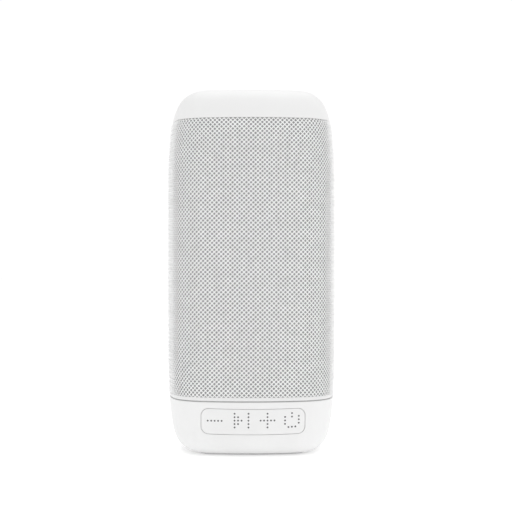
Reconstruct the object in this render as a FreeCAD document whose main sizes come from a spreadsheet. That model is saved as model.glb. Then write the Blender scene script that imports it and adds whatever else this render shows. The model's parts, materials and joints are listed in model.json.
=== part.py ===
import FreeCAD, Part
import math
import os
import re

import Sketcher
from FreeCAD import Placement, Rotation, Vector

# A portable tube-shaped wireless speaker. Millimetres, +Z up, the origin at the
# centre of the base on the surface it stands on, the front towards -Y.
#
# Every outer wall follows one plan curve, a square with four shallow faces and four
# round corners, and stands back from it by an inset that changes with height.

# ---------------------------------------------------------------- dimensions

DIMENSIONS = {
    # plan curve
    "half_width": 31.0,
    "face_radius": 73.0,
    "corner_radius": 15.8,
    # heights of the outside
    "foot_top": 1.5,
    "shell_bottom": 0.7,
    "toe_height": 4.5,
    "flank_foot": 8.5,
    "seam_low": 19.75,
    "rim_low": 20.15,
    "rim_high": 21.45,
    "taper_height": 40.0,
    "shoulder_height": 98.0,
    "sleeve_tuck": 119.6,
    "sleeve_top": 120.2,
    "cap_low": 120.6,
    "cap_bend": 127.0,
    "full_height": 131.3,
    # curves of the outside, seen from the side
    "low_inset": 0.5,
    "flank_slope": 2.7,
    "flank_radius": 80.0,
    "heel_radius": 17.0,
    "toe_radius": 6.7,
    "taper_radius": 425.0,
    "shoulder_radius": 190.0,
    "tuck_inset": 1.9,
    "cap_inset": 1.67,
    "cap_slope": 8.2,
    "cap_side_radius": 20.0,
    "cap_edge_radius": 8.03,
    # walls
    "shell_wall": 1.8,
    "cap_wall": 1.6,
    "sleeve_thickness": 1.0,
    "grille_gap": 0.1,
    "grille_wall": 1.2,
    "cabinet_side": 25.2,
    "cabinet_front": 23.8,
    "cabinet_corner": 10.5,
    "cabinet_wall": 2.2,
    "cabinet_low": 22.2,
    "cabinet_floor": 24.2,
    "cabinet_top": 117.6,
    "lid_top": 119.6,
    "foot_inset": 10.2,
    # keypad
    "pad_width": 37.6,
    "pad_low": 8.2,
    "pad_high": 17.7,
    "pad_corner": 2.7,
    "groove": 0.3,
    "key_gap": 0.5,
    "key_thickness": 1.1,
    "minus_play": -8.9,
    "play_plus": 0.45,
    "plus_power": 9.4,
    "minus_middle": -13.65,
    "play_middle": -4.15,
    "plus_middle": 5.05,
    "power_middle": 13.75,
    "symbol_height": 13.3,
    "dot_radius": 0.29,
    "dot_pitch": 1.23,
    "dot_recess": 0.06,
    "dot_depth": 0.8,
    "plunger_radius": 1.6,
    "plunger_end": 25.05,
    "stem_radius": 0.9,
    "stem_end": 24.2,
    "switch_front": 24.6,
    "board_front": 22.6,
    "board_thickness": 1.0,
    # driver, in its own frame: heights are depths behind the mounting face
    "driver_height": 88.0,
    "driver_radius": 20.0,
    "driver_opening": 17.8,
    "flange_thickness": 1.1,
    "cone_radius": 13.8,
    "magnet_radius": 13.0,
    "pole_radius": 4.9,
    "coil_radius": 5.3,
    # passive radiator
    "passive_radius": 18.0,
    "passive_opening": 15.6,
    "plate_radius": 9.6,
    # power
    "cell_radius": 9.2,
    "cell_length": 65.0,
    "cell_low": 26.0,
    "cell_back": 7.5,
    "wire_radius": 0.6,
    "terminal_low": 73.2,
    # electronics in the base
    "main_board_low": 6.0,
    "main_board_thickness": 1.2,
    "board_half_width": 10.8,
    "usb_across": -5.6,
    "usb_width": 8.94,
    "usb_height": 3.26,
    "jack_across": 5.2,
    "jack_bore_radius": 1.8,
    "boss_place": 15.0,
    "boss_radius": 2.8,
    "screw_radius": 1.1,
}

doc = FreeCAD.newDocument("TubeSpeaker")
sheet = doc.addObject("Spreadsheet::Sheet", "Dims")
for row, (alias, size) in enumerate(DIMENSIONS.items(), start=1):
    sheet.set(f"A{row}", alias)
    sheet.set(f"B{row}", str(size))
    sheet.setAlias(f"B{row}", alias)
doc.recompute()

ALIASES = re.compile(r"\b(" + "|".join(DIMENSIONS) + r")\b")
sub_parts = []


def cells(text):
    """An expression with each dimension's name turned into its cell."""
    return ALIASES.sub(r"Dims.\1", str(text))


def value(text):
    """The number that an expression of dimensions gives now."""
    return float(sheet.evalExpression(cells(text)))


def bind(item, prop, text):
    item.setExpression(prop, cells(text))


def keep(item, label):
    """Mark an object as a sub-part: its label names its file."""
    item.Label = label
    sub_parts.append(item)


# ---------------------------------------------------------------- sketch helpers

def new_body(name):
    return doc.addObject("PartDesign::Body", name + "_body")


def new_sketch(body, role, name="Sketch", offset=None):
    """A sketch on one of the body's own origin planes, lifted along its normal if asked."""
    sketch = body.newObject("Sketcher::SketchObject", name)
    plane = [item for item in body.Origin.OriginFeatures if item.Role == role][0]
    sketch.AttachmentSupport = [(plane, "")]
    sketch.MapMode = "FlatFace"
    if offset is not None:
        bind(sketch, "AttachmentOffset.Base.z", offset)
    return sketch


def measure(sketch, kind, where, text):
    """Add one dimension to a sketch and bind it to the sheet."""
    index = sketch.addConstraint(Sketcher.Constraint(kind, *where, value(text)))
    bind(sketch, f"Constraints[{index}]", text)


def pin(sketch, edge, point, across, up):
    """Hold an edge's start (1), end (2) or centre (3) at a place."""
    measure(sketch, "DistanceX", (-1, 1, edge, point), across)
    measure(sketch, "DistanceY", (-1, 1, edge, point), up)


def polygon(sketch, corners):
    """A closed outline of straight edges through corners given as expressions."""
    places = [Vector(value(x), value(y), 0) for x, y in corners]
    first = sketch.GeometryCount
    count = len(corners)
    for i in range(count):
        sketch.addGeometry(Part.LineSegment(places[i], places[(i + 1) % count]), False)
    for i in range(count):
        joined = (first + i, 2, first + (i + 1) % count, 1)
        sketch.addConstraint(Sketcher.Constraint("Coincident", *joined))
        pin(sketch, first + i, 1, *corners[i])


def circle(sketch, across, up, radius):
    centre = Vector(value(across), value(up), 0)
    edge = sketch.addGeometry(Part.Circle(centre, Vector(0, 0, 1), value(radius)), False)
    pin(sketch, edge, 3, across, up)
    measure(sketch, "Radius", (edge,), radius)


def rounded_box(sketch, left, right, low, high, radii):
    """A rectangle with its four corners rounded: low left, low right, high right, high left."""
    sides = [(left, low), (right, low), (right, high), (left, high)]
    inward = [(1, 1), (-1, 1), (-1, -1), (1, -1)]
    first = sketch.GeometryCount
    tangents = []
    for (across, up), (dx, dy), radius in zip(sides, inward, radii):
        middle = Vector(value(across) + dx * value(radius), value(up) + dy * value(radius), 0)
        start = math.atan2(-dy, -dx) - math.pi / 4
        arc = Part.ArcOfCircle(
            Part.Circle(middle, Vector(0, 0, 1), value(radius)), start, start + math.pi / 2
        )
        tangents.append((arc.StartPoint, arc.EndPoint))
        sketch.addGeometry(arc, False)
    for i in range(4):
        line = Part.LineSegment(tangents[i][1], tangents[(i + 1) % 4][0])
        sketch.addGeometry(line, False)
    for i in range(4):
        arc = first + i
        line = first + 4 + i
        sketch.addConstraint(Sketcher.Constraint("Tangent", arc, 2, line, 1))
        sketch.addConstraint(Sketcher.Constraint("Tangent", line, 2, first + (i + 1) % 4, 1))
        (across, up), (dx, dy) = sides[i], inward[i]
        signs = ("+" if dx > 0 else "-", "+" if dy > 0 else "-")
        pin(sketch, arc, 3, f"{across} {signs[0]} {radii[i]}", f"{up} {signs[1]} {radii[i]}")
        measure(sketch, "Radius", (arc,), radii[i])


def plan_curve(sketch, inset):
    """The plan curve set in by a distance, as nine tangent arcs that start on the +X axis."""
    face = value("face_radius")
    corner = value("corner_radius")
    reach = face - value("half_width")
    spread = (face - corner) ** 2
    middle = (math.sqrt(2 * spread - reach ** 2) - reach) / 2
    swing = math.atan2(middle, middle + reach)
    depth = value(inset)
    quarter = math.pi / 2
    pieces = [(reach, 0, face, 0, swing)]
    for turn in range(4):
        start = turn * quarter
        pieces.append((middle, start, corner, start + swing, start + quarter - swing))
        if turn < 3:
            pieces.append((reach, start + quarter, face, start + quarter - swing,
                           start + quarter + swing))
    pieces.append((reach, 0, face, -swing, 0))
    for place, turn, radius, start, end in pieces:
        if radius == face:
            centre = Vector(-place * math.cos(turn), -place * math.sin(turn), 0)
        else:
            centre = Vector(place * (math.cos(turn) - math.sin(turn)),
                            place * (math.cos(turn) + math.sin(turn)), 0)
        whole = Part.Circle(centre, Vector(0, 0, 1), radius - depth)
        sketch.addGeometry(Part.ArcOfCircle(whole, start, end), False)
    for i in range(len(pieces) - 1):
        sketch.addConstraint(Sketcher.Constraint("Tangent", i, 2, i + 1, 1))
    for edge, end in ((0, 1), (len(pieces) - 1, 2)):
        sketch.addConstraint(Sketcher.Constraint("PointOnObject", edge, end, -1))
    for i, (place, turn, radius, start, end) in enumerate(pieces):
        if radius == face:
            measure(sketch, "Radius", (i,), f"face_radius - ({inset})")
            back = (f"-(face_radius - half_width) * {round(math.cos(turn))}",
                    f"-(face_radius - half_width) * {round(math.sin(turn))}")
            pin(sketch, i, 3, *back)
        else:
            measure(sketch, "Radius", (i,), f"corner_radius - ({inset})")


def swept(body, draw_profile):
    """A wall: a profile drawn in the XZ plane and carried round the plan curve."""
    spine = new_sketch(body, "XY_Plane", "PlanCurve")
    plan_curve(spine, "0")
    profile = new_sketch(body, "XZ_Plane", "Profile")
    draw_profile(profile)
    doc.recompute()
    pipe = body.newObject("PartDesign::AdditivePipe", "Wall")
    pipe.Profile = profile
    pipe.Spine = (spine, [])
    doc.recompute()
    return pipe


def plan_slab(body, inset, low, high):
    """A flat plate in the plan curve's shape."""
    sketch = new_sketch(body, "XY_Plane", "Slab", offset=low)
    plan_curve(sketch, inset)
    pad = body.newObject("PartDesign::Pad", "Slab")
    pad.Profile = sketch
    bind(pad, "Length", f"{high} - ({low})")
    doc.recompute()


def through_pocket(body, sketch, front):
    """Cut a sketch of the XZ plane through the body's front wall (-Y) or its rear wall."""
    before = body.Shape.Volume
    pocket = body.newObject("PartDesign::Pocket", "Opening")
    pocket.Profile = sketch
    pocket.Type = "ThroughAll"
    pocket.Reversed = front
    doc.recompute()
    if body.Shape.Volume > before - 0.01:
        raise RuntimeError(f"{body.Label}: a pocket cut nothing")


def side_line(sketch, chain, inward, end_height):
    """One side of a wall's profile: tangent arcs and vertical straights, from chain.

    chain is the height where it starts and a list of (centre across, centre up, radius,
    end height); a straight has no centre and radius, and stands at its across.
    """
    start_height, stretches = chain
    line = []
    low = value(start_height)
    for number, (across, up, radius, end) in enumerate(stretches):
        if number == len(stretches) - 1:
            end = end_height
        if radius is None:
            side = value(across) - value(inward)
            shape = Part.LineSegment(Vector(side, low, 0), Vector(side, value(end), 0))
            index = sketch.addGeometry(shape, False)
            sketch.addConstraint(Sketcher.Constraint("Vertical", index))
            line.append((index, 1, 2, shape))
            low = value(end)
            continue
        size = value(radius) - value(inward)
        centre = Vector(value(across), value(up), 0)
        turns = [math.asin((z - centre.y) / size) for z in (low, value(end))]
        whole = Part.Circle(centre, Vector(0, 0, 1), size)
        shape = Part.ArcOfCircle(whole, min(turns), max(turns))
        index = sketch.addGeometry(shape, False)
        if number == 0:
            pin(sketch, index, 3, across, up)
        measure(sketch, "Radius", (index,), f"{radius} - ({inward})")
        head, tail = (2, 1) if turns[1] < turns[0] else (1, 2)
        line.append((index, head, tail, shape))
        low = centre.y + math.sin(turns[1]) * size
    for number in range(1, len(line)):
        before, _, tail, _ = line[number - 1]
        after, head, _, _ = line[number]
        kind = "Coincident" if stretches[number][2] is None else "Tangent"
        sketch.addConstraint(Sketcher.Constraint(kind, before, tail, after, head))
    measure(sketch, "DistanceY", (-1, 1, line[0][0], line[0][1]), start_height)
    ends = [stretch[3] for stretch in stretches[:-1]] + [end_height]
    for (index, _, tail, _), end in zip(line, ends):
        measure(sketch, "DistanceY", (-1, 1, index, tail), end)
    return line


def arc_point(shape, which):
    return shape.StartPoint if which == 1 else shape.EndPoint


def join(sketch, near, far, corners):
    """Close a profile between two edge ends, through corners given as expressions."""
    stops = [arc_point(near[1], near[2])]
    stops += [Vector(value(x), value(y), 0) for x, y in corners]
    stops.append(arc_point(far[1], far[2]))
    before = (near[0], near[2])
    for number, (start, end) in enumerate(zip(stops, stops[1:])):
        edge = sketch.addGeometry(Part.LineSegment(start, end), False)
        sketch.addConstraint(Sketcher.Constraint("Coincident", *before, edge, 1))
        if number < len(corners):
            pin(sketch, edge, 2, *corners[number])
        before = (edge, 2)
    sketch.addConstraint(Sketcher.Constraint("Coincident", *before, far[0], far[2]))


def wall_profile(sketch, chain, depth, far_depth, far_end=None, tail_corners=()):
    """A wall's profile: the chain at two depths, its start and its end closed."""
    end = chain[1][-1][3]
    outer = side_line(sketch, chain, depth, end)
    inner = side_line(sketch, chain, far_depth, far_end or end)
    (a, a_head, _, a_shape), (b, b_head, _, b_shape) = outer[0], inner[0]
    join(sketch, (a, a_shape, a_head), (b, b_shape, b_head), ())
    (a, _, a_tail, a_shape), (b, _, b_tail, b_shape) = outer[-1], inner[-1]
    join(sketch, (a, a_shape, a_tail), (b, b_shape, b_tail), tail_corners)


# ---------------------------------------------------------------- simple solids

ALONG = {
    "+Z": Rotation(),
    "-Y": Rotation(Vector(1, 0, 0), 90),
    "+Y": Rotation(Vector(1, 0, 0), -90),
    "+X": Rotation(Vector(0, 1, 0), 90),
}


def put(item, across, back, up, along="+Z"):
    """Place an object: its rotation at once, its position bound to the sheet."""
    item.Placement = Placement(Vector(), ALONG[along])
    for prop, text in (("x", across), ("y", back), ("z", up)):
        bind(item, f"Placement.Base.{prop}", text)
    return item


def cylinder(name, radius, height, across, back, up, along="+Z"):
    item = doc.addObject("Part::Cylinder", name)
    bind(item, "Radius", radius)
    bind(item, "Height", height)
    return put(item, across, back, up, along)


def box(name, x_span, y_span, z_span):
    """A block between pairs of expressions."""
    item = doc.addObject("Part::Box", name)
    for prop, (low, high) in (("Length", x_span), ("Width", y_span), ("Height", z_span)):
        bind(item, prop, f"({high}) - ({low})")
    return put(item, x_span[0], y_span[0], z_span[0])


def combine(kind, name, items):
    item = doc.addObject(kind, name)
    if kind == "Part::Compound":
        item.Links = items
    else:
        item.Shapes = items
    return item


def fuse(name, *items):
    return combine("Part::MultiFuse", name, list(items))


def common(name, *items):
    return combine("Part::MultiCommon", name, list(items))


def group(name, *items):
    return combine("Part::Compound", name, list(items))


def cut(name, base, *tools):
    item = doc.addObject("Part::Cut", name)
    item.Base = base
    item.Tool = tools[0] if len(tools) == 1 else fuse(name + "_tools", *tools)
    return item


def turned(name, corners, place):
    """A turned piece: (radius, height) corners revolved about its own Z, then placed."""
    body = new_body(name)
    sketch = new_sketch(body, "XZ_Plane")
    polygon(sketch, corners)
    turn = body.newObject("PartDesign::Revolution", "Turn")
    turn.Profile = sketch
    turn.ReferenceAxis = (sketch, ["V_Axis"])
    turn.Angle = 360
    doc.recompute()
    return put(body, *place)


def wire_tube(name, points, radius):
    """A held wire: straight runs joined by tangent arcs, as large as the runs allow."""
    places = [Vector(*(value(part) for part in point)) for point in points]
    edges = []
    here = places[0]
    for before, corner, after in zip(places, places[1:], places[2:]):
        incoming = (corner - before).normalize()
        outgoing = (after - corner).normalize()
        half_turn = incoming.getAngle(outgoing) / 2
        setback = 0.45 * min((corner - before).Length, (after - corner).Length)
        enter = corner - incoming * setback
        leave = corner + outgoing * setback
        bend = setback / math.tan(half_turn)
        toward = (outgoing - incoming).normalize()
        middle = corner + toward * (bend / math.cos(half_turn) - bend)
        edges.append(Part.LineSegment(here, enter).toShape())
        edges.append(Part.Arc(enter, middle, leave).toShape())
        here = leave
        print(f"{name}: arc radius {bend:.1f}")
    edges.append(Part.LineSegment(here, places[-1]).toShape())
    path = Part.Wire(edges)
    start = (places[1] - places[0]).normalize()
    ring = Part.Wire([Part.Circle(places[0], start, value(radius)).toShape()])
    solid = path.makePipeShell([ring], True, False)
    expected = math.pi * value(radius) ** 2 * path.Length
    print(f"{name}: volume over section times length {solid.Volume / expected:.4f}")
    item = doc.addObject("Part::Feature", name)
    item.Shape = solid
    return item


# ---------------------------------------------------------------- outer shells

FLANK_ACROSS = "half_width - low_inset - flank_radius * cos(flank_slope)"
FLANK_UP = "seam_low + flank_radius * sin(flank_slope)"


def chained(across, up, radius, height, next_radius):
    """Centre of the arc tangent to one that ends at a height: it lies on the same normal."""
    rise = f"(({height}) - ({up})) / ({radius})"
    return (
        f"({across}) + (({radius}) - ({next_radius})) * sqrt(1 - ({rise}) * ({rise}))",
        f"({up}) + (({radius}) - ({next_radius})) * ({rise})",
    )


HEEL = chained(FLANK_ACROSS, FLANK_UP, "flank_radius", "flank_foot", "heel_radius")
TOE = chained(*HEEL, "heel_radius", "toe_height", "toe_radius")
BASE_CHAIN = ("seam_low", [
    (FLANK_ACROSS, FLANK_UP, "flank_radius", "flank_foot"),
    (*HEEL, "heel_radius", "toe_height"),
    (*TOE, "toe_radius", "shell_bottom"),
])
CAP_ACROSS = "half_width - cap_inset - cap_side_radius * cos(cap_slope)"
CAP_UP = "cap_low - cap_side_radius * sin(cap_slope)"
CAP_EDGE = chained(CAP_ACROSS, CAP_UP, "cap_side_radius", "cap_bend", "cap_edge_radius")
CAP_CHAIN = ("cap_low", [
    (CAP_ACROSS, CAP_UP, "cap_side_radius", "cap_bend"),
    (*CAP_EDGE, "cap_edge_radius", "full_height"),
])
SLEEVE_CHAIN = ("rim_high", [
    ("half_width - taper_radius", "taper_height", "taper_radius", "taper_height"),
    ("half_width", None, None, "shoulder_height"),
    ("half_width - shoulder_radius", "shoulder_height", "shoulder_radius", "sleeve_tuck"),
])
FLOOR_TOP = "shell_bottom + shell_wall"
FLOOR_EDGE = "half_width - foot_inset"
CAP_CEILING = "full_height - cap_wall"
CAP_FLAT_INSET = "12"


def make_base_shell():
    """The moulded base: round flank, floor, keypad window in front, two ports behind."""
    body = new_body("base_shell")

    def profile(sketch):
        wall_profile(sketch, BASE_CHAIN, "0", "shell_wall", far_end=FLOOR_TOP,
                     tail_corners=[(f"{FLOOR_EDGE} - 1", "shell_bottom"),
                                   (f"{FLOOR_EDGE} - 1", FLOOR_TOP)])

    swept(body, profile)
    plan_slab(body, "foot_inset + 0.5", "shell_bottom", FLOOR_TOP)
    recess = new_sketch(body, "XY_Plane", "FootRecess", offset="shell_bottom")
    plan_curve(recess, "foot_inset - 0.1")
    pocket = body.newObject("PartDesign::Pocket", "FootRecess")
    pocket.Profile = recess
    pocket.Reversed = True
    bind(pocket, "Length", "foot_top - shell_bottom")
    window = new_sketch(body, "XZ_Plane", "KeypadWindow")
    rounded_box(window, "-pad_width / 2", "pad_width / 2", "pad_low", "pad_high",
                ["pad_corner"] * 4)
    through_pocket(body, window, front=True)
    middle = "main_board_low + main_board_thickness + usb_height / 2"
    port = new_sketch(body, "XZ_Plane", "UsbSlot")
    half = "usb_width / 2 + 0.3"
    tall = "usb_height / 2 + 0.3"
    rounded_box(port, f"usb_across - ({half})", f"usb_across + {half}",
                f"{middle} - ({tall})", f"{middle} + {tall}", ["1.6"] * 4)
    through_pocket(body, port, front=False)
    hole = new_sketch(body, "XZ_Plane", "JackHole")
    circle(hole, "jack_across", JACK_UP, "3.2")
    through_pocket(body, hole, front=False)
    posts = new_sketch(body, "XY_Plane", "Posts", offset="shell_bottom + 1")
    for dx in ("boss_place", "-boss_place"):
        for dy in ("boss_place - 1", "1 - boss_place"):
            circle(posts, dx, dy, "boss_radius")
    pad = body.newObject("PartDesign::Pad", "Posts")
    pad.Profile = posts
    bind(pad, "Length", "rim_high - (shell_bottom + 1)")
    doc.recompute()
    bores = new_sketch(body, "XY_Plane", "ScrewHoles", offset="shell_bottom")
    for dx in ("boss_place", "-boss_place"):
        for dy in ("boss_place - 1", "1 - boss_place"):
            circle(bores, dx, dy, "screw_radius + 0.15")
    drill = body.newObject("PartDesign::Pocket", "ScrewHoles")
    drill.Profile = bores
    drill.Type = "ThroughAll"
    drill.Midplane = True
    doc.recompute()
    keep(body, "base_shell")


JACK_UP = "main_board_low + main_board_thickness + 2.6"


def make_foot_pad():
    body = new_body("foot_pad")
    plan_slab(body, "foot_inset", "0", "foot_top")
    keep(body, "foot_pad")


def make_seam_gasket():
    """The dark line between base and rim: a thin gasket that stands back."""
    body = new_body("seam_gasket")

    def profile(sketch):
        polygon(sketch, [("half_width - low_inset - 0.5", "seam_low"),
                         ("half_width - low_inset - 0.5", "rim_low"),
                         ("half_width - low_inset - 3", "rim_low"),
                         ("half_width - low_inset - 3", "seam_low")])

    swept(body, profile)
    keep(body, "seam_gasket")


def make_trim_rim():
    """The plain rim below the fabric, with a tongue that stands inside the sleeve."""
    body = new_body("trim_rim")

    def profile(sketch):
        polygon(sketch, [("half_width - low_inset", "rim_low"),
                         ("half_width - low_inset + 0.1", "rim_high"),
                         ("half_width - low_inset - 2.5", "rim_high"),
                         ("half_width - low_inset - 2.5", "rim_high + 1.6"),
                         ("half_width - low_inset - 3.5", "rim_high + 1.6"),
                         ("half_width - low_inset - 3.5", "rim_low")])

    swept(body, profile)
    keep(body, "trim_rim")


def make_fabric():
    """The woven sleeve as a closed tube, its top edge tucked in under the cap."""
    body = new_body("grille_fabric")

    def profile(sketch):
        tuck = [("half_width - tuck_inset", "sleeve_top"),
                ("half_width - tuck_inset - sleeve_thickness", "sleeve_top")]
        wall_profile(sketch, SLEEVE_CHAIN, "0", "sleeve_thickness", tail_corners=tuck)

    swept(body, profile)
    keep(body, "grille_fabric")


def make_grille_frame():
    """The stiff tube under the fabric, open in upright slots before and behind."""
    depth = "sleeve_thickness + grille_gap"
    body = new_body("grille_frame")

    def profile(sketch):
        wall_profile(sketch, SLEEVE_CHAIN, depth, f"{depth} + grille_wall")

    swept(body, profile)
    slots = [box(f"slot_{column}_{row}",
                 (f"({column}) * 5.5 - 1.6", f"({column}) * 5.5 + 1.6"), ("-40", "40"),
                 (f"driver_height - 22 + {row} * 11.5", f"driver_height - 12.5 + {row} * 11.5"))
             for column in range(-3, 4) for row in range(4)]
    keep(cut("grille_tube", body, *slots), "grille_frame")


def make_top_cap():
    """The moulded cap: a round-shouldered lid with a skirt and four screw posts."""
    body = new_body("top_cap")

    def profile(sketch):
        edge = f"half_width - {CAP_FLAT_INSET}"
        wall_profile(sketch, CAP_CHAIN, "0", "cap_wall", far_end=CAP_CEILING,
                     tail_corners=[(edge, "full_height"), (edge, CAP_CEILING)])

    swept(body, profile)
    plan_slab(body, f"{CAP_FLAT_INSET} - 0.5", CAP_CEILING, "full_height")

    def skirt(sketch):
        polygon(sketch, [("half_width - 3.9", "lid_top + 0.3"),
                         ("half_width - 3.9", "cap_bend - 1.5"),
                         ("half_width - 5.1", "cap_bend - 1.5"),
                         ("half_width - 5.1", "lid_top + 0.3")])

    swept(body, skirt)
    posts = new_sketch(body, "XY_Plane", "Posts", offset="lid_top")
    for dx in (1, -1):
        for dy in (1, -1):
            circle(posts, f"{dx} * 14", f"{dy} * 14", "2.6")
            circle(posts, f"{dx} * 14", f"{dy} * 14", "screw_radius")
    pad = body.newObject("PartDesign::Pad", "Posts")
    pad.Profile = posts
    bind(pad, "Length", f"{CAP_CEILING} - lid_top + 0.2")
    doc.recompute()
    keep(body, "top_cap")


# ---------------------------------------------------------------- keypad

# Each key's left edge, right edge and middle.
KEYS = {
    "minus": ("-pad_width / 2 + groove", "minus_play - key_gap / 2", "minus_middle"),
    "play": ("minus_play + key_gap / 2", "play_plus - key_gap / 2", "play_middle"),
    "plus": ("play_plus + key_gap / 2", "plus_power - key_gap / 2", "plus_middle"),
    "power": ("plus_power + key_gap / 2", "pad_width / 2 - groove", "power_middle"),
}

# Each symbol as columns of dots: (columns across, rows up) in dot pitches from its middle.
SYMBOLS = {
    "minus": [(across, 0) for across in range(-2, 3)],
    "play": (
        [(-2, up) for up in range(-2, 3)]
        + [(-1, up) for up in range(-1, 2)]
        + [(0, 0)]
        + [(2, up) for up in range(-2, 3)]
    ),
    "plus": [(across, 0) for across in range(-2, 3)] + [(0, up) for up in (-2, -1, 1, 2)],
    "power": (
        [(0, 2.1), (0, 1.1)]
        + [(-2, up) for up in (1.35, 0.35, -0.65)]
        + [(2, up) for up in (1.35, 0.35, -0.65)]
        + [(across, -1.9) for across in (-1, 0, 1)]
    ),
}


def make_band(name, depth, far_depth, low, high):
    """A thin wall that follows the base's flank, between two depths and two heights."""
    body = new_body(name)
    chain = (high, [(FLANK_ACROSS, FLANK_UP, "flank_radius", low)])
    swept(body, lambda sketch: wall_profile(sketch, chain, depth, far_depth))
    return body


def front_block(name, left, right, low, high, radii):
    """A block through the front wall with a rounded outline."""
    body = new_body(name)
    sketch = new_sketch(body, "XZ_Plane", offset="half_width - 10")
    rounded_box(sketch, left, right, low, high, radii)
    pad = body.newObject("PartDesign::Pad", "Block")
    pad.Profile = sketch
    pad.Length = 12
    doc.recompute()
    return body


def make_keys():
    """Four key caps that follow the base's surface, each with its plunger and dots."""
    low = "pad_low + groove"
    high = "pad_high - groove"
    skin = make_band("key_skin", "0", "key_thickness", low, high)
    holes = make_band("dot_holes", "-0.4", "dot_depth", low, high)
    inlay = make_band("dot_inlay", "dot_recess", "dot_depth", low, high)
    round_end = "pad_corner - groove"
    for name, (left, right, middle) in KEYS.items():
        ends = {"minus": [round_end, "0.3", "0.3", round_end],
                "power": ["0.3", round_end, round_end, "0.3"]}
        radii = ends.get(name, ["0.3"] * 4)
        block = front_block(f"{name}_outline", left, right, low, high, radii)
        cap = common(f"{name}_cap", skin, block)
        pins = []
        for number, (across, up) in enumerate(SYMBOLS[name]):
            pins.append(cylinder(
                f"{name}_pin_{number}", "dot_radius", "12",
                f"{middle} + {across} * dot_pitch", "-half_width + 9",
                f"symbol_height + {up} * dot_pitch", "-Y"))
        pin_group = fuse(f"{name}_pins", *pins)
        plunger = cylinder(f"{name}_plunger", "plunger_radius", "5.5", middle,
                           "-plunger_end", "symbol_height", "-Y")
        core = common(f"{name}_plunger_core", plunger, make_plunger_limit(name))
        whole = fuse(f"{name}_key", cap, core)
        sockets = common(f"{name}_sockets", holes, pin_group)
        keep(cut(f"{name}_cap_cut", whole, sockets), f"key_{name}")
        keep(common(f"{name}_dots", inlay, pin_group), f"dots_{name}")
        stem = cylinder(f"{name}_stem", "stem_radius", "plunger_end - stem_end", middle,
                        "-stem_end", "symbol_height", "-Y")
        keep(stem, f"switch_stem_{name}")


def make_plunger_limit(name):
    """The plunger's reach: up to half the depth of the key's skin."""
    body = new_body(f"{name}_reach")

    def profile(sketch):
        chain = ("pad_high", [(FLANK_ACROSS, FLANK_UP, "flank_radius", "pad_low")])
        wall_profile(sketch, chain, "key_thickness - 0.3", "8")

    swept(body, profile)
    return body


def make_keypad_carrier():
    """The flange behind the window that holds the keys; its holes let the plungers by."""
    band = make_band("carrier_band", "shell_wall + 0.05", "shell_wall + 1.05",
                     "pad_low - 0.4", "pad_high + 1.2")
    block = front_block("carrier_outline", "-pad_width / 2 - 1.2", "pad_width / 2 + 1.2",
                        "pad_low - 0.4", "pad_high + 1.2", ["2"] * 4)
    flange = common("carrier_flange", band, block)
    bores = [cylinder(f"{name}_bore", "plunger_radius + 0.4", "12", middle,
                      "-half_width + 9", "symbol_height", "-Y")
             for name, (_, _, middle) in KEYS.items()]
    keep(cut("carrier_cut", flange, *bores), "keypad_carrier")


def make_keypad_board():
    board = box("pad_board", ("-17.4", "17.4"),
                ("-board_front", "-board_front + board_thickness"), ("6.4", "18.6"))
    keep(board, "keypad_board")
    housings = []
    for name, (_, _, middle) in KEYS.items():
        block = box(f"{name}_housing", (f"{middle} - 2", f"{middle} + 2"),
                    ("-switch_front", "-board_front"),
                    ("symbol_height - 2", "symbol_height + 2"))
        well = cylinder(f"{name}_well", "stem_radius + 0.3", "2", middle,
                        "-switch_front + 1.2", "symbol_height", "-Y")
        housings.append(cut(f"{name}_switch", block, well))
    keep(group("switches", *housings), "tact_switches")
    led = box("led", ("17.4 - 6.2", "17.4 - 4.6"), ("-board_front - 0.6", "-board_front"),
              ("7.2", "8.0"))
    keep(led, "status_led")
    capsule = cylinder("mic", "2", "1.2", "minus_play", "-board_front", "symbol_height - 4.2",
                       "-Y")
    keep(capsule, "microphone")


# ---------------------------------------------------------------- electronics in the base

def make_main_board():
    low, top = "main_board_low", "main_board_low + main_board_thickness"
    board = box("board", ("-board_half_width", "board_half_width"), ("-15", "25.6"),
                (low, top))
    keep(board, "main_board")
    pillars = [cylinder(f"pillar_{i}", "1.6", f"main_board_low - ({FLOOR_TOP})",
                        across, back, FLOOR_TOP)
               for i, (across, back) in enumerate([("-8.4", "-12"), ("8.4", "-12"),
                                                   ("-8.4", "10"), ("8.4", "10")])]
    keep(group("pillars", *pillars), "board_pillars")
    chips = [box("amplifier", ("-6", "0"), ("-2", "4"), (top, f"{top} + 1.1")),
             box("radio", ("2", "9"), ("-4", "3"), (top, f"{top} + 1.4")),
             box("charger", ("-8", "-4"), ("6", "10"), (top, f"{top} + 1")),
             box("inductor", ("-2.5", "2.5"), ("7", "12"), (top, f"{top} + 2.6"))]
    keep(group("chips", *chips), "board_chips")
    heads = [cylinder(f"board_screw_{i}", "1.5", "1", across, "-12", top)
             for i, across in enumerate(("-8.4", "8.4"))]
    keep(group("board_screw_heads", *heads), "board_screws")


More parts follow.
